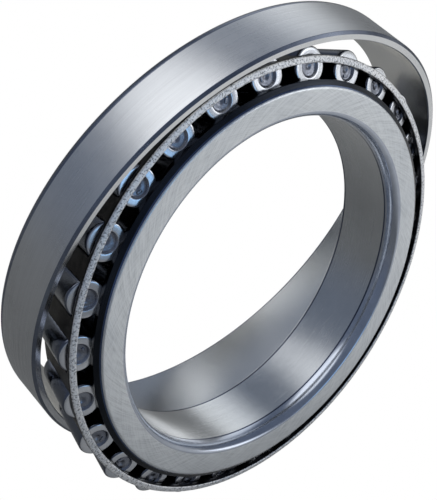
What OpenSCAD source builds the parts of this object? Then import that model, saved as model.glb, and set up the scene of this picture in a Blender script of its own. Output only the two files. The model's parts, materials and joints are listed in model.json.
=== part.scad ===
// Single-row tapered roller bearing, lying apart: the outer ring (cup) stands
// on its rim and the cone assembly (inner ring, cage, rollers) rests just
// inside its wide mouth, tipped back on its rollers.
// Lengths are millimetres. +Z is up, +Y is the outer ring's axis, and the
// origin is the centre of the outer ring, halfway along its width. The wide
// mouth of the outer ring faces -Y.
// The rollers and their raceways taper towards one apex on the cone's axis.

/* [Outer ring] */
// Outside diameter
outer_diameter = 143; // [142:0.5:150]
// Width of the outer ring
outer_ring_width = 17.4; // [16.5:0.1:18.5]
// Raceway diameter at the wide mouth
mouth_diameter = 138.27; // [137.5:0.01:139]
// Corner radius at the back face
back_corner = 2.76; // [1.5:0.01:3]
// Corner chamfer at the wide mouth
front_chamfer = 0.7; // [0.3:0.1:1]

/* [Inner ring] */
// Bore diameter
bore_diameter = 100; // [96:0.5:101]
// Width of the inner ring
inner_ring_width = 22; // [21.6:0.1:24]
// Radial size of the bore corner at the back face
bore_corner_radial = 2.1; // [1:0.1:2.4]
// Axial size of the bore corner at the back face
bore_corner_axial = 4.2; // [2.5:0.1:6]
// Diameter of the large rib beside the rollers
large_rib_diameter = 120.2; // [119.4:0.1:120.5]
// Diameter of the small rib
small_rib_diameter = 111.2; // [110:0.1:112]

/* [Rollers] */
// Diameter of a roller at its large end
roller_diameter = 10.8; // [10.4:0.05:10.9]
// Length of a roller
roller_length = 16; // [15:0.1:16.2]
// Rounding of the large-end corner
large_corner = 0.9; // [0.5:0.1:1.2]
// Diameter of the recess in the large end
recess_diameter = 6.6; // [5.4:0.2:7.4]
// Depth of the recess
recess_depth = 0.6; // [0.3:0.1:1]

/* [Cage] */
// Sheet thickness
sheet = 2.1; // [1.4:0.1:2.2]
// Width of the ring beyond the rollers' large ends
lip = 1.75; // [1:0.05:2]
// Gap between a roller and its pocket
pocket_gap = 0.1; // [0.05:0.05:0.3]

/* [Lay-out] */
// Cone assembly's place across
place_x = -1.84; // [-2.5:0.01:1]
// Cone assembly's place along the outer ring's axis
place_y = -21.6; // [-60:0.01:-21.5]
// Cone assembly's place in height
place_z = -2.18; // [-4:0.01:0]
// How far the cone assembly is tipped back
tip_back = 13.55; // [4:0.01:16]
// How far the cone assembly is turned sideways
turn_side = 4.27; // [0:0.01:6]
// Angle of the first roller round the inner ring
first_roller = 9.33; // [0:0.01:13.8]

/* [Hidden] */
$fn = 96;
roller_count = 26;
roller_step = 360 / roller_count;

// Half-angles, measured from the apex: the outer raceway, a roller, and a
// roller's own axis.
outer_slope = 0.284;
outer_angle = atan(outer_slope);
roller_angle = 1.235;
roller_slope = tan(roller_angle);
axis_angle = outer_angle - roller_angle;
axis_sin = sin(axis_angle);
axis_cos = cos(axis_angle);

// Centre of a roller's large end: its distance from the cone's axis, and its
// depth behind the inner ring's back face.
end_radius = 63.23;
end_depth = 3.9;
large_r = roller_diameter / 2;
small_r = large_r - roller_length * roller_slope;
race_gap = 0.03;

ground = [0.74, 0.76, 0.78];
race_steel = [0.62, 0.64, 0.66];
blasted = [0.45, 0.46, 0.48];
roller_steel = [0.82, 0.84, 0.87];

// Points near a roller are given by out, the offset outwards from its axis,
// and along, the distance from its large end towards its small end.

// Such a point as [radius, height] in the cone's frame.
function ring_point(out, along) = [
    end_radius - along * axis_sin + out * axis_cos,
    -end_depth - along * axis_cos - out * axis_sin
];
// The offset that lies at a given radius from the cone's axis.
function out_at_radius(radius, along) = (radius - end_radius + along * axis_sin) / axis_cos;
// The offset of the inner raceway.
function race_out(along) = -(large_r + race_gap) + along * roller_slope;

// The cone assembly's frame: its axis is local z, and the inner ring's back
// face is the plane z = 0 with the steel below it.
module in_cone_frame() {
    translate([place_x, place_y, place_z])
        rotate([90 - tip_back, 0, turn_side])
            children();
}

// Roller i's frame within the cone's: its axis is z, its large end z = 0.
module in_roller_frame(i) {
    rotate([0, 0, first_roller + (i - 1) * roller_step])
        translate([end_radius, 0, -end_depth])
            rotate([0, axis_angle, 0])
                children();
}

// What an arc of radius r leaves over in the corner [0, 0]..[r, r].
module corner_waste(r) {
    difference() {
        translate([-1, -1]) square([r + 1, r + 1]);
        translate([r, r]) circle(r);
    }
}

// Outer ring
mouth_r = mouth_diameter / 2;
outer_r = outer_diameter / 2;
mouth_edge_axial = 0.35;
mouth_edge_radial = 0.1;
throat_edge_axial = 0.5;
throat_edge_radial = 0.6;

// Half section, with the back face at y = 0.
module outer_ring_profile() {
    width = outer_ring_width;
    difference() {
        polygon([
            [mouth_r - width * outer_slope + throat_edge_radial, 0],
            [mouth_r - (width - throat_edge_axial) * outer_slope, throat_edge_axial],
            [mouth_r - mouth_edge_axial * outer_slope, width - mouth_edge_axial],
            [mouth_r + mouth_edge_radial, width],
            [outer_r - front_chamfer, width],
            [outer_r, width - front_chamfer],
            [outer_r, 0]
        ]);
        translate([outer_r, 0]) mirror([1, 0]) corner_waste(back_corner);
    }
}

module outer_ring() {
    color(race_steel)
        rotate([90, 0, 0])
            translate([0, 0, -outer_ring_width / 2])
                rotate_extrude() outer_ring_profile();
}

// Inner ring
bore_r = bore_diameter / 2;
large_rib_r = large_rib_diameter / 2;
small_rib_r = small_rib_diameter / 2;
back_face_r = 58.6;
// Two points, [radius, height], from the back face to the large rib.
rib_shoulder = [
    [min(back_face_r + 0.6, large_rib_r - 0.7), -0.66],
    [large_rib_r - 0.6, -1.0]
];
race_end = roller_length + 0.3;
small_rib_chamfer = 0.5;
bore_chamfer = 0.8;
// Radii of the grooves at the large and small ends of the raceway.
large_groove_r = 0.55;
small_groove_r = 0.45;
// The arc at the back-face end of the bore is tangent to the bore and
// meets the face at bore_corner_radial.
bore_arc_r = (pow(bore_corner_radial, 2) + pow(bore_corner_axial, 2)) / (2 * bore_corner_radial);

module inner_ring_profile() {
    front = -inner_ring_width;
    difference() {
        polygon([
            [bore_r, 0],
            [back_face_r, 0],
            rib_shoulder[0],
            rib_shoulder[1],
            ring_point(out_at_radius(large_rib_r, -race_gap), -race_gap),
            ring_point(race_out(-race_gap), -race_gap),
            ring_point(race_out(race_end), race_end),
            ring_point(out_at_radius(small_rib_r, race_end), race_end),
            [small_rib_r, front + small_rib_chamfer],
            [small_rib_r - small_rib_chamfer, front],
            [bore_r + bore_chamfer, front],
            [bore_r, front + bore_chamfer]
        ]);
        difference() {
            translate([bore_r - 1, -bore_corner_axial])
                square([bore_corner_radial + 1, bore_corner_axial + 1]);
            translate([bore_r + bore_arc_r, -bore_corner_axial]) circle(bore_arc_r);
        }
        translate(ring_point(-large_r - 0.05, 0.15)) circle(large_groove_r);
        translate(ring_point(race_out(roller_length + 0.2), roller_length))
            circle(small_groove_r);
    }
}

module inner_ring() {
    color(ground) in_cone_frame() rotate_extrude() inner_ring_profile();
}

// Cage: offsets of the wall's two faces and of the flange's inner edge from
// the rollers' axes, then the flange's two faces along them.
wall_in = 1.0;
wall_out = wall_in + sheet;
flange_in = -2.3;
flange_top = -(roller_length + 0.35);
flange_bottom = flange_top - sheet;
flange_overlap = 0.01;
lip_bevel_in = 0.2;
lip_bevel_out = 0.3;
bend_r = sheet * 0.9;
pocket_end_gap = 0.2;

// Everything a roller's pocket removes: the roller grown by the pocket gap.
module pocket() {
    translate([0, 0, -roller_length - pocket_end_gap])
        cylinder(
            h = roller_length + 2 * pocket_end_gap,
            r1 = small_r + pocket_gap,
            r2 = large_r + pocket_gap
        );
}

// Half section: a wall parallel to the rollers' axes and, past their small
// ends, a flange turned inwards.
module cage_profile() {
    translate([end_radius, -end_depth]) rotate(-axis_angle) difference() {
        union() {
            polygon([
                [wall_in, lip - lip_bevel_in],
                [wall_in + lip_bevel_in, lip],
                [wall_out - lip_bevel_out, lip],
                [wall_out, lip - lip_bevel_out],
                [wall_out, flange_bottom],
                [wall_in, flange_bottom]
            ]);
            polygon([
                [flange_in, flange_top],
                [wall_in + flange_overlap, flange_top],
                [wall_in + flange_overlap, flange_bottom],
                [flange_in, flange_bottom]
            ]);
        }
        translate([wall_out, flange_bottom]) mirror([1, 0]) corner_waste(bend_r);
    }
}

module cage() {
    color(blasted) in_cone_frame() difference() {
        rotate_extrude() cage_profile();
        for (i = [1 : roller_count]) in_roller_frame(i) pocket();
    }
}

// Rollers
small_corner = 0.7;
small_corner_mid = 0.2;
large_corner_mid = large_corner * 0.3;
recess_r = recess_diameter / 2;
dimple_depth = 0.5;
dimple_bottom_r = 0.15;
dimple_top_r = 1.1;
bar_size = [1.4, 0.9, 0.3];
bar_start = 0.9;
// How far the dimple's cutter rises above the recess floor, and how far the
// bar is sunk into it.
floor_overlap = 0.1;
// Each roller is spun about its own axis by this much more than the last.
spin_step = 137;

// One roller, its axis along z and its large end at z = 0, with a dished
// recess, a dimple at its centre and a plain raised bar in it.
module roller_body() {
    difference() {
        rotate_extrude() polygon([
            [0, -roller_length],
            [small_r - small_corner, -roller_length],
            [small_r - small_corner_mid, -roller_length + small_corner_mid],
            [small_r + small_corner * roller_slope, -roller_length + small_corner],
            [large_r - large_corner * roller_slope, -large_corner],
            [large_r - large_corner_mid, -large_corner_mid],
            [large_r - large_corner, 0],
            [recess_r + 0.25, 0],
            [recess_r - 0.1, -recess_depth * 0.7],
            [recess_r - 0.8, -recess_depth],
            [0, -recess_depth]
        ]);
        translate([0, 0, -recess_depth - dimple_depth])
            cylinder(h = dimple_depth + floor_overlap, r1 = dimple_bottom_r, r2 = dimple_top_r);
    }
    translate([bar_start, -bar_size[1] / 2, -recess_depth - floor_overlap]) cube(bar_size);
}

module roller(i) {
    color(roller_steel)
        in_cone_frame()
            in_roller_frame(i)
                rotate([0, 0, i * spin_step]) roller_body();
}

module roller_01() { roller(1); }
module roller_02() { roller(2); }
module roller_03() { roller(3); }
module roller_04() { roller(4); }
module roller_05() { roller(5); }
module roller_06() { roller(6); }
module roller_07() { roller(7); }
module roller_08() { roller(8); }
module roller_09() { roller(9); }
module roller_10() { roller(10); }
module roller_11() { roller(11); }
module roller_12() { roller(12); }
module roller_13() { roller(13); }
module roller_14() { roller(14); }
module roller_15() { roller(15); }
module roller_16() { roller(16); }
module roller_17() { roller(17); }
module roller_18() { roller(18); }
module roller_19() { roller(19); }
module roller_20() { roller(20); }
module roller_21() { roller(21); }
module roller_22() { roller(22); }
module roller_23() { roller(23); }
module roller_24() { roller(24); }
module roller_25() { roller(25); }
module roller_26() { roller(26); }

outer_ring();
inner_ring();
cage();
roller_01();
roller_02();
roller_03();
roller_04();
roller_05();
roller_06();
roller_07();
roller_08();
roller_09();
roller_10();
roller_11();
roller_12();
roller_13();
roller_14();
roller_15();
roller_16();
roller_17();
roller_18();
roller_19();
roller_20();
roller_21();
roller_22();
roller_23();
roller_24();
roller_25();
roller_26();
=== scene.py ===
import json
import math

import bpy
import numpy as np
from mathutils import Matrix, Vector


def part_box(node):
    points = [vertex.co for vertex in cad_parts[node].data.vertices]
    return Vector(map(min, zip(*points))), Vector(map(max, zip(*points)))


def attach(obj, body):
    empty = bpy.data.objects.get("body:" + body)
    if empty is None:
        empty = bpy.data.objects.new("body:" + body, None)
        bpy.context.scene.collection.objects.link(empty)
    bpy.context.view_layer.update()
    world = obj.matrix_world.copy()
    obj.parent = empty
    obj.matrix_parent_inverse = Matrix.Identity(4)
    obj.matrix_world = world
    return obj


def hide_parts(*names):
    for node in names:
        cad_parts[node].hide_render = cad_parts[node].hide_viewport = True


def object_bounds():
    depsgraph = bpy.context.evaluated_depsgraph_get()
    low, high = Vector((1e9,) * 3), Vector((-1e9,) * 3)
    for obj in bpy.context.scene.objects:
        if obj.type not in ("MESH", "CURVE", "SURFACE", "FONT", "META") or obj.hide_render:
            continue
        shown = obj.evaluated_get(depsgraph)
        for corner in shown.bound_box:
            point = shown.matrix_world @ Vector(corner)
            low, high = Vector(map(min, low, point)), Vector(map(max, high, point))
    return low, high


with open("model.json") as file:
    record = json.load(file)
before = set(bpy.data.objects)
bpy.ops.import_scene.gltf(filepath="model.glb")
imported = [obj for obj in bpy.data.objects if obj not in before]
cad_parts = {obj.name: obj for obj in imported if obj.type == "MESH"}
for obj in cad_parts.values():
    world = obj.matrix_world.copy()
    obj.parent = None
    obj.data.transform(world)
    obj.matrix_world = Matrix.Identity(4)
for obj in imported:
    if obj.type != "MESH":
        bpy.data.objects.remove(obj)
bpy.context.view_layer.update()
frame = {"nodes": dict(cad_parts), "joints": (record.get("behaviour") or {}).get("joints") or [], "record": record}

MM = 0.001
joints = {joint["name"]: joint for joint in frame["joints"]}
mounts = {mount["name"]: mount for mount in frame["record"]["mounts"]}
scene = bpy.context.scene


# ---------------------------------------------------------------- placing
def unit(v):
    v = Vector(v)
    return v / v.length


def axes_matrix(x, y, z, origin):
    matrix = Matrix.Identity(4)
    for column, axis in enumerate((x, y, z, origin)):
        for row in range(3):
            matrix[row][column] = axis[row]
    return matrix


def link_object(name, data, matrix):
    ob = bpy.data.objects.new(name, data)
    scene.collection.objects.link(ob)
    ob.matrix_world = matrix
    return ob


def stand_in(ob, piece):
    """Moves with the CAD piece and takes its place."""
    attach(ob, piece)
    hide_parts(piece)


outer_lo, outer_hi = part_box("outer_ring")
outer_centre = (outer_lo + outer_hi) / 2
OUTER_R = (outer_hi.x - outer_lo.x) / 2 / MM
OUTER_WIDTH = (outer_hi.y - outer_lo.y) / MM
# local z = 0 is the outer ring's back face, and its wide mouth is at z = OUTER_WIDTH
outer_matrix = axes_matrix(
    Vector((1, 0, 0)), Vector((0, 0, 1)), Vector((0, -1, 0)),
    Vector((outer_centre.x, outer_hi.y, outer_centre.z)),
)

inner_axis = unit(joints["cage_spin"]["axis"])
on_axis = Vector(joints["cage_spin"]["pos_m"])
face_point = Vector(mounts["inner_back_face"]["pos_m"])
inner_origin = on_axis + inner_axis * (face_point - on_axis).dot(inner_axis)
inner_x = unit(face_point - inner_origin)
# local z = 0 is the inner ring's back face, with the steel below it
inner_matrix = axes_matrix(inner_x, inner_axis.cross(inner_x), inner_axis, inner_origin)

# ------------------------------------------------- shared cross-section, mm
OUTER_SLOPE = 0.284                      # of the outer raceway to its axis
ROLLER_ANGLE = math.radians(1.235)       # of a roller's side to its own axis
ROLLER_SLOPE = math.tan(ROLLER_ANGLE)
AXIS_ANGLE = math.atan(OUTER_SLOPE) - ROLLER_ANGLE   # roller axis to bearing axis
AXIS_SIN, AXIS_COS = math.sin(AXIS_ANGLE), math.cos(AXIS_ANGLE)
END_R, END_DEPTH = 63.23, 3.9            # centre of a roller's large end, from the back face
BIG_R, LENGTH = 5.4, 16.0                # roller
SMALL_R = BIG_R - LENGTH * ROLLER_SLOPE
GAP = 0.03                               # roller to inner ring
BORE_R = mounts["shaft_bore"]["dims"]["r_mm"]
INNER_WIDTH = 22.0
BIG_RIB_R, SMALL_RIB_R = 60.1, 55.6


def by_roller(offset, along):
    """Inner ring (r, z) of a point outward of a roller's axis, and along it from the large end."""
    return (END_R - along * AXIS_SIN + offset * AXIS_COS,
            -END_DEPTH - along * AXIS_COS - offset * AXIS_SIN)


def offset_at_radius(radius, along):
    return (radius - END_R + along * AXIS_SIN) / AXIS_COS


def race_offset(along):
    return -(BIG_R + GAP) + along * ROLLER_SLOPE


# ------------------------------------------------------------- revolved rings
RING_SEGMENTS = 720
STATION_PITCH = 2.5                      # longest stretch left undivided, mm
SMOOTH_TURN = 0.02                       # turns below this many radians are not rounded
ON_CURVE = -1.0                          # rounding that marks a point of a smooth curve
# zone of a rounding, by the zone of the edge that leaves it; "edge" for all others
ROUNDING_ZONES = {"chamfer": "face", "rib": "rib"}


def signed_area(points):
    return sum(a[0] * b[1] - b[0] * a[1] for a, b in zip(points, points[1:] + points[:1]))


def rotated(v, angle):
    return np.array([v[0] * math.cos(angle) - v[1] * math.sin(angle),
                     v[0] * math.sin(angle) + v[1] * math.cos(angle)])


def rounded(corners, steps=5):
    """Rounds the corners (r, z, rounding, zone of the edge that leaves) of a closed section.

    Returns a list of (r, z, normal r, normal z, zone) with exact normals.
    """
    points = [np.array(corner[:2], float) for corner in corners]
    sign = 1 if signed_area(points) > 0 else -1
    section = []
    for i, (_, _, rounding, zone) in enumerate(corners):
        point = points[i]
        into = point - points[i - 1]
        leaving = points[(i + 1) % len(points)] - point
        len_into, len_leaving = np.hypot(*into), np.hypot(*leaving)
        into, leaving = into / len_into, leaving / len_leaving
        normal_into = sign * np.array([into[1], -into[0]])
        normal_leaving = sign * np.array([leaving[1], -leaving[0]])
        turn = math.atan2(into[0] * leaving[1] - into[1] * leaving[0], float(into @ leaving))
        if abs(turn) < SMOOTH_TURN or rounding < 0:
            normal = normal_into + normal_leaving
            normal /= np.hypot(*normal)
            section.append((*point, *normal, zone))
            continue
        half_tan = math.tan(abs(turn) / 2)
        cut = min(rounding * half_tan, 0.45 * len_into, 0.45 * len_leaving)
        start = point - into * cut
        side = 1 if turn > 0 else -1
        centre = start + np.array([-into[1], into[0]]) * side * (cut / half_tan)
        for step in range(steps + 1):
            angle = turn * step / steps
            place = centre + rotated(start - centre, angle)
            here = zone if step == steps else ROUNDING_ZONES.get(zone, "edge")
            section.append((*place, *rotated(normal_into, angle), here))
    return section


def subdivided(section):
    """Adds evenly spaced stations to the long stretches."""
    full = []
    for a, b in zip(section, section[1:] + section[:1]):
        full.append(a)
        extra = int(math.hypot(b[0] - a[0], b[1] - a[1]) / STATION_PITCH)
        for j in range(1, extra + 1):
            w = j / (extra + 1)
            normal = np.array([a[2] * (1 - w) + b[2] * w, a[3] * (1 - w) + b[3] * w])
            normal /= np.hypot(*normal)
            full.append((a[0] + (b[0] - a[0]) * w, a[1] + (b[1] - a[1]) * w, *normal, a[4]))
    return full


def arc(centre, radii, angles, steps, zone, last_zone):
    """Corners along an elliptical arc in (r, z); angles are in degrees."""
    corners = []
    for step in range(steps + 1):
        angle = math.radians(angles[0] + (angles[1] - angles[0]) * step / steps)
        corners.append((centre[0] + radii[0] * math.cos(angle),
                        centre[1] + radii[1] * math.sin(angle),
                        ON_CURVE, last_zone if step == steps else zone))
    return corners


def revolved(name, corners, matrix, materials, zone_slots):
    """A closed ring about local z."""
    section = subdivided(rounded(corners))
    count = len(section)
    angle = np.arange(RING_SEGMENTS) * 2 * math.pi / RING_SEGMENTS
    cos, sin = np.cos(angle)[:, None], np.sin(angle)[:, None]
    r, z, normal_r, normal_z = np.array([point[:4] for point in section]).T
    places = np.zeros((RING_SEGMENTS, count, 3))
    places[:, :, 0] = cos * r * MM
    places[:, :, 1] = sin * r * MM
    places[:, :, 2] = z * MM
    normals = np.zeros((RING_SEGMENTS, count, 3))
    normals[:, :, 0] = cos * normal_r
    normals[:, :, 1] = sin * normal_r
    normals[:, :, 2] = normal_z
    i, j = np.meshgrid(np.arange(RING_SEGMENTS), np.arange(count), indexing="ij")
    next_i, next_j = (i + 1) % RING_SEGMENTS, (j + 1) % count
    quads = np.stack([i * count + j, next_i * count + j,
                      next_i * count + next_j, i * count + next_j], -1).reshape(-1, 4)
    if signed_area(section) < 0:
        quads = quads[:, ::-1]
    mesh = bpy.data.meshes.new(name)
    mesh.from_pydata(places.reshape(-1, 3).tolist(), [], quads.tolist())
    slots = np.array([zone_slots[point[4]] for point in section])
    mesh.polygons.foreach_set("material_index", slots[j.reshape(-1)].astype(np.int32))
    mesh.polygons.foreach_set("use_smooth", np.ones(len(quads), bool))
    for material in materials:
        mesh.materials.append(material)
    mesh.normals_split_custom_set_from_vertices(normals.reshape(-1, 3).tolist())
    mesh.update()
    return link_object(name, mesh, matrix)


# --------------------------------------------------------------- shader graphs
class Graph:
    """Short ways to add nodes to a shader tree. Any value may be a socket."""

    def __init__(self, tree):
        self.tree = tree
        tree.nodes.clear()

    def put(self, socket, value):
        if isinstance(value, bpy.types.NodeSocket):
            self.tree.links.new(value, socket)
        elif isinstance(value, (int, float)):
            socket.default_value = value
        else:
            value = tuple(value)
            if len(value) == 3 and len(socket.default_value) == 4:
                value += (1.0,)
            socket.default_value = value

    def node(self, kind, inputs=None, **settings):
        node = self.tree.nodes.new("ShaderNode" + kind)
        for name, value in settings.items():
            setattr(node, name, value)
        for key, value in (inputs or {}).items():
            if value is not None:
                self.put(node.inputs[key], value)
        return node

    def math(self, operation, a, b=None, clamp=False):
        return self.node("Math", {0: a, 1: b}, operation=operation, use_clamp=clamp).outputs[0]

    def vector(self, operation, a, b=None, scale=None, output="Vector"):
        inputs = {0: a, 1: b, "Scale": scale}
        return self.node("VectorMath", inputs, operation=operation).outputs[output]

    def ramp(self, value, low, high, start=0.0, end=1.0):
        """start at low, easing to end at high."""
        inputs = {"Value": value, "From Min": low, "From Max": high,
                  "To Min": start, "To Max": end}
        return self.node("MapRange", inputs, interpolation_type="SMOOTHSTEP").outputs["Result"]


class MaterialGraph(Graph):
    """A material with one Principled shader."""

    def __init__(self, name):
        self.material = bpy.data.materials.new(name)
        self.material.use_nodes = True
        super().__init__(self.material.node_tree)
        self.output = self.node("OutputMaterial")
        self.principled = self.node("BsdfPrincipled")
        self.put(self.output.inputs[0], self.principled.outputs[0])

    def set(self, name, value):
        self.put(self.principled.inputs[name], value)

    def mix(self, factor, a, b):
        return self.node("Mix", {0: factor, 6: a, 7: b}, data_type="RGBA").outputs[2]

    def noise(self, place, scale, detail=3.0, rough=0.55):
        inputs = {"Vector": place, "Scale": scale, "Detail": detail, "Roughness": rough}
        return self.node("TexNoise", inputs).outputs["Fac"]

    def point(self):
        """Object coordinates in mm."""
        coords = self.node("TexCoord").outputs["Object"]
        return self.vector("SCALE", coords, scale=1000.0)

    def split(self, point):
        return self.node("SeparateXYZ", {0: point}).outputs

    def radius(self, x, y):
        squares = self.math("ADD", self.math("MULTIPLY", x, x), self.math("MULTIPLY", y, y))
        return self.math("SQRT", squares)

    def streaks(self, angle, along, around_scale, along_scale, scale, detail, rough):
        """Noise on a circle, so the marks have no seam, stretched by the two scales."""
        place = self.node("CombineXYZ", {
            0: self.math("MULTIPLY", self.math("COSINE", angle), around_scale),
            1: self.math("MULTIPLY", self.math("SINE", angle), around_scale),
            2: self.math("MULTIPLY", along, along_scale),
        }).outputs[0]
        return self.noise(place, scale, detail, rough)

    def sway(self, value, noise, amount, clamp=False):
        """value, moved either way by a noise centred on 0.5."""
        centred = self.math("SUBTRACT", noise, 0.5)
        return self.math("ADD", value, self.math("MULTIPLY", centred, amount), clamp=clamp)

    def bump(self, height, strength, distance, normal=None):
        inputs = {"Strength": strength, "Distance": distance, "Height": height, "Normal": normal}
        return self.node("Bump", inputs).outputs[0]


def scaled(colour, factor):
    return [channel * factor for channel in colour]


# ------------------------------------------------------------------ materials
def round_marks(graph, radius, angle, height):
    """Tool marks that run round the axis: (coarse, fine)."""
    marks = graph.streaks(angle, graph.math("ADD", height, radius), around_scale=1.2,
                          along_scale=4.0, scale=2.2, detail=5.0, rough=0.65)
    fine_marks = graph.streaks(angle, graph.math("ADD", height, radius), around_scale=6.0,
                               along_scale=14.0, scale=2.0, detail=3.0, rough=0.6)
    return marks, fine_marks


def cross_marks(graph, radius, angle, fine):
    """Two crossing sets of scratches over a face: (all, one set)."""
    skew = 0.03                          # radians per mm of radius
    one_way = graph.math("ADD", angle, graph.math("MULTIPLY", radius, skew))
    other_way = graph.math("SUBTRACT", angle, graph.math("MULTIPLY", radius, skew * 1.7))
    first, second, broad = [
        graph.streaks(way, radius, around_scale=fine * share, along_scale=along,
                      scale=scale, detail=4.0, rough=0.7)
        for way, share, along, scale in (
            (one_way, 1.0, 0.10, 2.4), (other_way, 0.6, 0.16, 2.0), (one_way, 0.3, 0.22, 2.2))
    ]
    rest = graph.math("ADD", graph.math("MULTIPLY", second, 0.3),
                      graph.math("MULTIPLY", broad, 0.25))
    return graph.math("ADD", graph.math("MULTIPLY", first, 0.45), rest), second


def steel(name, light, dark, rough, lay="round", lay_depth=0.4, grain=0.15, aniso=0.0,
          speck=0.0, fine=60.0, vary=1.0):
    """Worked steel.

    lay: direction of the tool marks: "round", "cross" or None
    lay_depth: how far the marks darken the colour;  grain: bump strength
    speck: strength of light and dark dots;  fine: closeness of crossing scratches
    vary: how much the marks and the finest grain change the roughness
    """
    graph = MaterialGraph(name)
    point = graph.point()
    big = graph.noise(point, 0.045, 4.0, 0.6)
    middle = graph.noise(point, 0.5, 4.0, 0.6)
    tiny = graph.noise(point, 6.0, 3.0, 0.6)
    marks, fine_marks = middle, tiny
    if lay:
        x, y, z = graph.split(point)
        radius = graph.radius(x, y)
        angle = graph.math("ARCTAN2", y, x)
        if lay == "round":
            marks, fine_marks = round_marks(graph, radius, angle, z)
        else:
            marks, fine_marks = cross_marks(graph, radius, angle, fine)

    colour = graph.mix(graph.ramp(big, 0.15, 0.85), dark, light)
    colour = graph.mix(graph.ramp(middle, 0.35, 0.75, end=0.25), colour, light)
    colour = graph.mix(graph.ramp(marks, 0.42, 0.66, end=lay_depth), colour, scaled(dark, 0.62))
    if speck > 0:
        dots = graph.noise(point, 9.0, 2.0, 0.5)
        colour = graph.mix(graph.ramp(dots, 0.56, 0.70, end=speck), colour,
                           [min(1, channel) for channel in scaled(light, 1.7)])
        colour = graph.mix(graph.ramp(dots, 0.44, 0.32, end=speck), colour, scaled(dark, 0.35))
    graph.set("Base Color", colour)
    graph.set("Metallic", 1.0)

    roughness = graph.sway(rough, big, 0.16)
    roughness = graph.sway(roughness, marks, 0.22 * vary)
    graph.set("Roughness", graph.sway(roughness, tiny, 0.10 * vary, clamp=True))
    if aniso:
        graph.set("Anisotropic", aniso)
        tangent = graph.node("Tangent", direction_type="RADIAL", axis="Z")
        graph.set("Tangent", tangent.outputs[0])
    normal = graph.bump(marks, grain, 0.00004)
    normal = graph.bump(fine_marks, grain * 0.7, 0.00002, normal)
    graph.set("Normal", graph.bump(tiny, grain * 0.6, 0.00002, normal))
    return graph.material


def blasted_sheet_painted_light_and_shade():
    """Pressed sheet: bright and speckled at its rim as painted light, dark elsewhere as painted shade."""
    # painted light: these bright colours stand for the lit lip of the rim
    light, dark = (0.95, 0.95, 0.96), (0.70, 0.72, 0.76)
    # painted shade: these near-black colours stand for the shade over the rest of the sheet
    shade_grey, shade_black = (0.035, 0.035, 0.038), (0.010, 0.010, 0.012)
    rim_start, rim_full = 1.35, 1.62     # mm beyond the plane of the rollers' large ends
    graph = MaterialGraph("blasted_sheet_painted_light_and_shade")
    point = graph.point()
    x, y, z = graph.split(point)
    from_end_r = graph.math("SUBTRACT", graph.radius(x, y), END_R)
    from_end_z = graph.math("ADD", z, END_DEPTH)
    beyond = graph.math("ADD", graph.math("MULTIPLY", from_end_r, AXIS_SIN),
                        graph.math("MULTIPLY", from_end_z, AXIS_COS))
    ragged = graph.sway(beyond, graph.noise(point, 1.2), 0.25)
    rim = graph.ramp(ragged, rim_start, rim_full)

    big = graph.noise(point, 0.06, 4.0, 0.6)
    dots = graph.noise(point, 1.8, 3.0, 0.65)
    tiny = graph.noise(point, 7.0, 2.0, 0.5)
    bright = graph.mix(graph.ramp(big, 0.3, 0.7), dark, light)
    bright = graph.mix(graph.ramp(dots, 0.50, 0.60, end=0.85), bright, (1.0, 1.0, 1.0))
    bright = graph.mix(graph.ramp(dots, 0.47, 0.38, end=0.85), bright, scaled(dark, 0.30))
    cloud = graph.noise(point, 0.35, 4.0, 0.6)
    # painted shade on the sheet away from its rim; the rim takes the painted light
    dull = graph.mix(graph.ramp(cloud, 0.35, 0.65), shade_black, shade_grey)
    graph.set("Base Color", graph.mix(rim, dull, bright))
    graph.set("Metallic", 1.0)
    roughness = graph.math("ADD", 0.42, graph.math("MULTIPLY", rim, 0.12))
    graph.set("Roughness", graph.sway(roughness, tiny, 0.2, clamp=True))
    normal = graph.bump(dots, 0.45, 0.00008)
    graph.set("Normal", graph.bump(tiny, 0.35, 0.00003, normal))
    return graph.material


OUTSIDE = steel("ground_outside", light=(0.66, 0.68, 0.70), dark=(0.56, 0.57, 0.59),
                rough=0.30, lay_depth=0.22, grain=0.12, aniso=0.35)
PLAIN_FACE = steel("ground_front_face", light=(0.85, 0.86, 0.88), dark=(0.72, 0.74, 0.76),
                   rough=0.25, lay_depth=0.2, grain=0.12)
RACEWAY = steel("raceway", light=(0.84, 0.84, 0.83), dark=(0.76, 0.76, 0.74),
                rough=0.20, lay_depth=0.05, grain=0.008, aniso=0.3, vary=0.2)
# painted reflection: roundings and small edges are coloured dark blue-grey for the dark surroundings they reflect
DARK_REFLECTION_EDGE = steel("edge_painted_dark_reflection", light=(0.26, 0.29, 0.36), dark=(0.12, 0.14, 0.19),
                  rough=0.28, lay_depth=0.25, grain=0.12)
# painted shade: near-black bands at the two ends of the bore
PAINTED_DARK_LINE = steel("painted_dark_line", light=(0.10, 0.12, 0.18), dark=(0.04, 0.05, 0.08),
                  rough=0.26, lay_depth=0.25, grain=0.10)
BACK_FACE = steel("ground_back_face", light=(0.84, 0.87, 0.90), dark=(0.68, 0.72, 0.77),
                  rough=0.32, lay="cross", lay_depth=0.72, grain=0.75)
CORNER = steel("polished_corner", light=(0.54, 0.58, 0.66), dark=(0.34, 0.38, 0.46),
               rough=0.17, lay_depth=0.12, grain=0.03)
BORE = steel("ground_bore", light=(0.60, 0.62, 0.64), dark=(0.48, 0.50, 0.52),
             rough=0.24, lay_depth=0.15, grain=0.06, aniso=0.3)
# painted reflection: the rib chamfer is coloured dark navy for the dark blue surroundings it reflects
CHAMFER = steel("chamfer_painted_reflection", light=(0.12, 0.17, 0.30), dark=(0.05, 0.07, 0.14),
                rough=0.20, lay_depth=0.25, grain=0.08)
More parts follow.
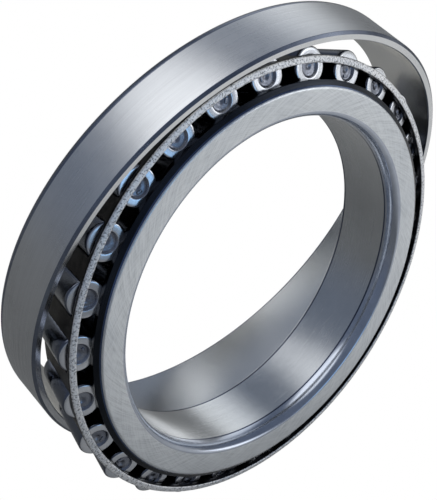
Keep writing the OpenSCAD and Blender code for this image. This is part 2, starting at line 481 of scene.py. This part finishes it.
# painted shade: the big rib's outside and the groove at its foot are coloured near black for the shade beside the
# rollers
RIB = steel("rib_painted_shade", light=(0.035, 0.04, 0.05), dark=(0.015, 0.018, 0.025),
            rough=0.26, lay_depth=0.25, grain=0.08)
SHEET = blasted_sheet_painted_light_and_shade()
# painted shade: the roller sides are coloured near black for the shade they sit in between the rings
ROLLER_SIDE = steel("roller_side_painted_shade", light=(0.17, 0.19, 0.23), dark=(0.09, 0.10, 0.14),
                    rough=0.18, lay_depth=0.18, grain=0.07)
ROLLER_END = steel("ground_roller_end", light=(0.80, 0.82, 0.86), dark=(0.62, 0.66, 0.74),
                   rough=0.22, lay="cross", lay_depth=0.25, grain=0.12, fine=18.0)
RECESS = steel("forged_recess", light=(0.36, 0.38, 0.44), dark=(0.12, 0.135, 0.18),
               rough=0.28, lay=None, lay_depth=0.3, grain=0.7, speck=0.3)


# ---------------------------------------------------------------------- rings
def build_outer_ring():
    mouth_r = OUTER_R - 2.365            # raceway radius, carried out to the mouth
    corner_r = 2.76                      # between the outside and the back face
    # the roundings, small chamfers and the back corner take the edge zone, with its painted dark reflection
    corners = [
        # r, z, rounding, zone of the edge that leaves
        (mouth_r - OUTER_WIDTH * OUTER_SLOPE + 0.6, 0.0, 0.1, "edge"),
        (mouth_r - (OUTER_WIDTH - 0.5) * OUTER_SLOPE, 0.5, 0.12, "race"),
        (mouth_r - 0.35 * OUTER_SLOPE, OUTER_WIDTH - 0.35, 0.1, "edge"),
        (mouth_r + 0.1, OUTER_WIDTH, 0.08, "face"),
        (OUTER_R - 0.7, OUTER_WIDTH, 0.12, "edge"),
        (OUTER_R, OUTER_WIDTH - 0.7, 0.15, "outside"),
    ] + arc((OUTER_R - corner_r, corner_r), (corner_r, corner_r), (0, -90), 10, "edge", "face")
    ring = revolved(
        "outer_ring_steel", corners, outer_matrix,
        [OUTSIDE, RACEWAY, PLAIN_FACE, DARK_REFLECTION_EDGE],
        {"outside": 0, "race": 1, "face": 2, "edge": 3},
    )
    stand_in(ring, "outer_ring")


def build_inner_ring():
    corner_r, corner_z = 2.2, 4.2        # elliptical corner between the bore and the back face
    rib_along = LENGTH + 0.3             # where the small rib starts, along the roller
    corners = [
        # r, z, rounding, zone of the edge that leaves
        # a band of painted shade on the bore, just below the corner
        (BORE_R, -4.75, 0.0, "dark"),
    ] + arc((BORE_R + corner_r, -corner_z), (corner_r, corner_z), (180, 90), 14,
            "corner", "face") + [
        # the chamfer zone takes the painted dark blue reflection
        (58.6, 0.0, 1.15, "chamfer"),
        # the rib zone takes the rib's painted shade
        (59.2, -0.66, 0.1, "rib"),
        (BIG_RIB_R + 0.45, -1.4, 0.25, "rib"),
        by_roller(offset_at_radius(BIG_RIB_R, -GAP), -GAP) + (0.15, "rib"),
        # the groove at the foot of the big rib, coloured with the rib's painted shade
        by_roller(-BIG_R + 0.55, -GAP) + (0.15, "groove"),
        by_roller(-BIG_R + 0.15, 0.45) + (0.25, "groove"),
        by_roller(-BIG_R - 0.35, 0.62) + (0.25, "groove"),
        by_roller(race_offset(0.85), 0.85) + (0.1, "race"),
        by_roller(race_offset(LENGTH - 0.3), LENGTH - 0.3) + (0.1, "race"),
        by_roller(race_offset(LENGTH) - 0.35, LENGTH + 0.05) + (0.2, "race"),
        # the small rib and the face below it
        by_roller(race_offset(rib_along) + 0.1, rib_along) + (0.1, "small_face"),
        by_roller(offset_at_radius(SMALL_RIB_R, rib_along), rib_along) + (0.15, "small_face"),
        (SMALL_RIB_R, -INNER_WIDTH + 0.5, 0.15, "edge"),
        (SMALL_RIB_R - 0.5, -INNER_WIDTH, 0.12, "small_face"),
        # the bore's small-end chamfer and its first half millimetre take painted shade
        (BORE_R + 0.8, -INNER_WIDTH, 0.12, "dark"),
        (BORE_R, -INNER_WIDTH + 0.8, 0.2, "dark"),
        (BORE_R, -INNER_WIDTH + 1.3, ON_CURVE, "bore"),
    ]
    # roundings and the small rib's edge take the edge zone, with its painted dark reflection
    ring = revolved(
        "inner_ring_steel", corners, inner_matrix,
        [BACK_FACE, CORNER, BORE, RIB, RACEWAY, DARK_REFLECTION_EDGE, PLAIN_FACE, CHAMFER, PAINTED_DARK_LINE],
        {"face": 0, "corner": 1, "bore": 2, "rib": 3, "groove": 3, "race": 4, "edge": 5,
         "small_face": 6, "chamfer": 7, "dark": 8},
    )
    stand_in(ring, "inner_ring")


# ----------------------------------------------------------------------- cage
def build_cage():
    """The CAD cage in the inner ring's frame, remeshed to soften its corners."""
    mesh = frame["nodes"]["cage"].data.copy()
    mesh.name = "cage_sheet"
    mesh.transform(inner_matrix.inverted())
    mesh.materials.clear()
    mesh.materials.append(SHEET)
    cage = link_object("cage_sheet", mesh, inner_matrix)
    if mesh.has_custom_normals:
        with bpy.context.temp_override(object=cage, active_object=cage, selected_objects=[cage]):
            bpy.ops.mesh.customdata_custom_splitnormals_clear()
    remesh = cage.modifiers.new("remesh", "REMESH")
    remesh.mode = "VOXEL"
    remesh.voxel_size = 0.26 * MM
    remesh.use_smooth_shade = True
    smooth = cage.modifiers.new("smooth", "SMOOTH")
    smooth.factor = 0.5
    smooth.iterations = 4
    stand_in(cage, "cage")


# -------------------------------------------------------------------- rollers
ROLLER_COUNT = 26
ROLLER_VARIANTS = 4
ROLLER_SEGMENTS = 96
ROLLER_TURN = 137                        # degrees each roller is turned past the one before
RECESS_DEPTH = 0.6                       # of the round recess in the large end
ROLLER_SLOTS = {"side": 0, "end": 1, "floor": 2, "wall": 2, "bar": 2}


def roller_profile():
    """(r, z, zone), from the centre of the large end out, down the side and in to the centre."""
    floor = -RECESS_DEPTH
    profile = [
        (0.0, floor - 0.42, "floor"), (0.35, floor - 0.34, "floor"),
        (0.75, floor - 0.17, "floor"), (1.05, floor - 0.04, "floor"),
        (1.35, floor, "floor"), (1.9, floor, "floor"), (2.45, floor, "floor"),
        (2.52, floor + 0.05, "wall"), (2.68, floor + 0.2, "wall"), (2.80, floor + 0.38, "wall"),
        (2.88, -0.2, "wall"), (2.96, -0.08, "wall"),
        (3.04, -0.02, "end"), (3.14, 0.0, "end"), (3.6, 0.0, "end"), (4.1, 0.0, "end"),
        (BIG_R - 0.72, 0.0, "end"), (BIG_R - 0.55, -0.03, "end"),
        (BIG_R - 0.38, -0.09, "side"), (BIG_R - 0.22, -0.2, "side"),
        (BIG_R - 0.10, -0.36, "side"), (BIG_R - 0.04, -0.56, "side"),
        (BIG_R - 0.03, -1.0, "side"),
    ]
    for j in range(1, 8):
        along = 1.0 + (LENGTH - 1.9) * j / 7
        profile.append((BIG_R - along * ROLLER_SLOPE, -along, "side"))
    return profile + [
        (SMALL_R - 0.06, -LENGTH + 0.5, "side"), (SMALL_R - 0.22, -LENGTH + 0.22, "side"),
        (SMALL_R - 0.45, -LENGTH + 0.06, "side"), (SMALL_R - 0.75, -LENGTH, "end"),
        (2.0, -LENGTH, "end"), (0.6, -LENGTH, "end"), (0.0, -LENGTH, "end"),
    ]


def add_roller_body(verts, faces, zones, variant):
    profile = roller_profile()
    verts.append((0, 0, profile[0][1]))
    starts = []
    for r, z, zone in profile[1:-1]:
        starts.append(len(verts))
        for s in range(ROLLER_SEGMENTS):
            angle = 2 * math.pi * s / ROLLER_SEGMENTS
            # the recess floor is slightly wavy, differently in each variant
            wave = 0.03 * math.sin(3 * angle + variant) * r / 2.4 if zone == "floor" else 0.0
            verts.append((r * math.cos(angle), r * math.sin(angle), z + wave))
    tip = len(verts)
    verts.append((0, 0, profile[-1][1]))
    for s in range(ROLLER_SEGMENTS):
        t = (s + 1) % ROLLER_SEGMENTS
        faces.append((0, starts[0] + s, starts[0] + t))
        zones.append("floor")
        faces.append((tip, starts[-1] + t, starts[-1] + s))
        zones.append("end")
        for a, b, station in zip(starts, starts[1:], profile[1:]):
            faces.append((a + s, b + s, b + t, a + t))
            zones.append(station[2])


def add_recess_bar(verts, faces, zones):
    """A raised bar with rounded ends on the recess floor, to one side of its centre."""
    centre_x, segments = 1.6, 32
    half_width, half_length, height = 0.42, 0.78, 0.24
    foot = -0.06                         # sunk below the recess floor
    squareness = 0.45                    # superellipse exponent of the outline
    levels = [
        # inset of the outline, height, width factor, length factor
        (0.0, foot, 1.0, 1.0),
        (0.0, 0.05, 1.0, 1.0),
        (0.008, 0.15, 1.0, 1.0),
        (0.032, 0.21, 1.0, 1.0),
        (0.076, height, 1.0, 1.0),
        (0.14, height + 0.01, 0.4, 0.6),
    ]
    starts = []
    for inset, level, width_factor, length_factor in levels:
        starts.append(len(verts))
        for s in range(segments):
            angle = 2 * math.pi * s / segments
            cos, sin = math.cos(angle), math.sin(angle)
            across = math.copysign(abs(cos) ** squareness, cos) * (half_width - inset)
            along = math.copysign(abs(sin) ** squareness, sin) * (half_length - inset)
            verts.append((centre_x + across * width_factor, along * length_factor,
                          level - RECESS_DEPTH))
    top = len(verts)
    verts.append((centre_x, 0.0, height + 0.012 - RECESS_DEPTH))
    bottom = len(verts)
    verts.append((centre_x, 0.0, foot - RECESS_DEPTH))
    for s in range(segments):
        t = (s + 1) % segments
        for a, b in zip(starts, starts[1:]):
            faces.append((a + s, a + t, b + t, b + s))
        faces.append((starts[-1] + s, starts[-1] + t, top))
        faces.append((starts[0] + t, starts[0] + s, bottom))
        zones.extend(["bar"] * (len(starts) + 1))


def roller_mesh(variant):
    """Large end at z = 0, with the roller below it."""
    verts, faces, zones = [], [], []
    add_roller_body(verts, faces, zones, variant)
    add_recess_bar(verts, faces, zones)
    mesh = bpy.data.meshes.new("roller")
    mesh.from_pydata([(x * MM, y * MM, z * MM) for x, y, z in verts], [], faces)
    slots = np.array([ROLLER_SLOTS[zone] for zone in zones], np.int32)
    mesh.polygons.foreach_set("material_index", slots)
    mesh.polygons.foreach_set("use_smooth", np.ones(len(zones), bool))
    for material in (ROLLER_SIDE, ROLLER_END, RECESS):
        mesh.materials.append(material)
    mesh.validate()
    mesh.update()
    return mesh


def roller_matrix(number):
    joint = joints[f"roller_{number:02d}_spin"]
    axis = unit(joint["axis"])
    end = Vector(joint["pos_m"]) + axis * (LENGTH / 2 * MM)
    # local x lies in the plane of the two axes and points away from the inner ring's axis
    square_on = inner_axis - axis * inner_axis.dot(axis)
    x = unit(axis.cross(square_on)).cross(axis)
    away = end - (inner_origin + inner_axis * (end - inner_origin).dot(inner_axis))
    if x.dot(away) < 0:
        x = -x
    turn = Matrix.Rotation(math.radians(number * ROLLER_TURN), 4, "Z")
    return axes_matrix(x, axis.cross(x), axis, end) @ turn


def build_rollers():
    variants = [roller_mesh(variant) for variant in range(ROLLER_VARIANTS)]
    for number in range(1, ROLLER_COUNT + 1):
        mesh = variants[number % ROLLER_VARIANTS].copy()
        piece = f"roller_{number:02d}"
        roller = link_object(f"{piece}_steel", mesh, roller_matrix(number))
        stand_in(roller, piece)


# ---------------------------------------------------------------------- floor
def light_path(graph, output):
    return graph.node("LightPath").outputs[output]


def pool(graph, centre, inner, outer, level):
    """A round glow on the floor: full inside inner mm, gone at outer."""
    distance = graph.vector("DISTANCE", graph.point(), centre, output="Value")
    return graph.ramp(distance, inner, outer, start=level, end=0.0)


def floor_material():
    """White to the camera, and a dull grey sheet with pools of light to everything else."""
    graph = MaterialGraph("pale_floor")
    grey = graph.noise(graph.point(), 0.02, 2.0)
    graph.set("Base Color", graph.mix(grey, (0.33, 0.32, 0.29), (0.39, 0.375, 0.345)))
    graph.set("Roughness", 0.9)
    near = pool(graph, centre=(140.0, -178.0, 0.0), inner=60.0, outer=290.0, level=0.46)
    far = pool(graph, centre=(620.0, -450.0, 0.0), inner=220.0, outer=480.0, level=1.1)
    pools = graph.math("ADD", near, far)
    # one more, seen only by way of two reflections or more
    deep = graph.math("GREATER_THAN", light_path(graph, "Glossy Depth"), 1.5)
    hidden = pool(graph, centre=(0.0, -62.0, 0.0), inner=30.0, outer=80.0, level=1.1)
    pools = graph.math("ADD", pools, graph.math("MULTIPLY", deep, hidden))
    graph.set("Emission Color", (1.0, 1.0, 0.99))
    graph.set("Emission Strength", pools)
    white = graph.node("Emission", {0: (1, 1, 1, 1)})
    pick = graph.node("MixShader", {
        0: light_path(graph, "Is Camera Ray"),
        1: graph.principled.outputs[0],
        2: white.outputs[0],
    })
    graph.put(graph.output.inputs[0], pick.outputs[0])
    return graph.material


def build_floor():
    half = 6.0
    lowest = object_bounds()[0].z
    mesh = bpy.data.meshes.new("floor")
    mesh.from_pydata([(-half, -half, 0), (half, -half, 0), (half, half, 0), (-half, half, 0)],
                     [], [(0, 1, 2, 3)])
    floor = link_object("floor", mesh, Matrix.Translation((0, 0, lowest)))
    mesh.materials.append(floor_material())


# ------------------------------------------------------------------------ sky
def direction(azimuth, elevation):
    """Azimuth 0 is +Y and 90 is +X."""
    a, e = math.radians(azimuth), math.radians(elevation)
    return Vector((math.sin(a) * math.cos(e), math.cos(a) * math.cos(e), math.sin(e)))


class Sky(Graph):
    """Soft lights round the object, painted on the world. Angles are in degrees."""

    def __init__(self):
        scene.world = bpy.data.worlds.new("studio")
        scene.world.use_nodes = True
        super().__init__(scene.world.node_tree)
        coords = self.node("TexCoord").outputs["Generated"]
        self.ray = self.vector("NORMALIZE", coords)
        self.total = None

    def dot(self, v):
        return self.vector("DOT_PRODUCT", self.ray, v, output="Value")

    def fall(self, value, inner, outer):
        return self.ramp(value, inner, outer, start=1.0, end=0.0)

    def add(self, mask, colour):
        light = self.vector("SCALE", colour, scale=mask)
        self.total = light if self.total is None else self.vector("ADD", self.total, light)

    def disc(self, azimuth, elevation, inner, outer):
        """A round mask: full inside inner degrees, gone at outer."""
        cosine = self.math("MINIMUM", self.dot(direction(azimuth, elevation)), 0.99999)
        return self.fall(self.math("ARCCOSINE", cosine),
                         math.radians(inner), math.radians(outer))

    def glow(self, azimuth, elevation, inner, outer, colour):
        self.add(self.disc(azimuth, elevation, inner, outer), colour)

    def opposite_box(self, azimuth, elevation, wide, tall, soft, colour):
        """A soft-edged rectangle directly opposite the direction given.

        The first mask is 0 ahead and 1 behind. Behind, the divisor stays at its least value,
        so each half-size is that value times the tangent of wide or tall.
        """
        centre = direction(azimuth, elevation)
        across = unit(centre.cross(Vector((0, 0, 1))))
        ahead = self.dot(centre)
        mask = self.math("SUBTRACT", 1.0, self.fall(ahead, 0.35, 0.15))
        divisor = self.math("MAXIMUM", ahead, 0.1)
        for axis, half in ((across, wide), (across.cross(centre), tall)):
            slope = self.math("ABSOLUTE", self.math("DIVIDE", self.dot(axis), divisor))
            edge = self.fall(slope, math.tan(math.radians(half - soft)),
                             math.tan(math.radians(half + soft)))
            mask = self.math("MULTIPLY", mask, edge)
        self.add(mask, colour)

    def finish(self, lifts):
        """Adds the lifts, seen by two reflections or more, and shows the camera plain white."""
        path = self.node("LightPath").outputs
        deep = self.math("GREATER_THAN", path["Glossy Depth"], 1.5)
        for azimuth, elevation, inner, outer, level in lifts:
            mask = self.disc(azimuth, elevation, inner, outer)
            self.add(self.math("MULTIPLY", deep, mask), (level, level * 0.995, level * 0.98))
        lights = self.node("Background", {0: self.total})
        white = self.node("Background", {0: (1, 1, 1, 1)})
        pick = self.node("MixShader", {
            0: path["Is Camera Ray"], 1: lights.outputs[0], 2: white.outputs[0],
        })
        self.node("OutputWorld", {0: pick.outputs[0]})


def build_sky():
    sky = Sky()
    below = sky.fall(sky.dot(Vector((0, 0, 1))), -0.35, 0.45)
    sky.add(below, (0.20, 0.195, 0.18))
    sky.add(sky.math("SUBTRACT", 1.0, below), (0.18, 0.21, 0.27))
    sky.glow(azimuth=-9, elevation=67, inner=19, outer=30, colour=(1.46, 1.44, 1.40))
    sky.opposite_box(azimuth=80, elevation=27, wide=24, tall=17, soft=6,
                     colour=(2.4, 2.39, 2.35))
    sky.glow(azimuth=46, elevation=9, inner=6, outer=25, colour=(0.95, 0.96, 0.95))
    sky.glow(azimuth=127, elevation=4, inner=8, outer=24, colour=(1.9, 1.9, 1.88))
    sky.glow(azimuth=166, elevation=5, inner=5, outer=17, colour=(0.42, 0.80, 1.25))
    sky.finish(lifts=(
        # azimuth, elevation, inner, outer, level
        (-98, 33, 12, 27, 1.5), (-125, 8, 12, 34, 0.36), (-60, 45, 12, 28, 1.0),
        (60, 31, 12, 28, 1.2), (15, 38, 8, 20, 0.5), (75, 58, 10, 24, 1.0),
    ))


# --------------------------------------------------------------------- camera
def build_camera():
    right = Vector((0.78635718, -0.61777212, 0.0))
    up = Vector((0.47763524, 0.60797807, 0.63421388))
    backward = Vector((-0.39179965, -0.49871864, 0.77315765))
    from_outer_ring = Vector((-0.138349, -0.170531, 0.260859))
    data = bpy.data.cameras.new("camera")
    data.lens = 85.85
    data.sensor_width = 36.0
    data.clip_start = 0.01
    data.clip_end = 50.0
    matrix = axes_matrix(right, up, backward, outer_centre + from_outer_ring)
    scene.camera = link_object("camera", data, matrix)


build_outer_ring()
build_inner_ring()
build_cage()
build_rollers()
build_floor()
build_sky()
scene.view_settings.view_transform = "Standard"
build_camera()
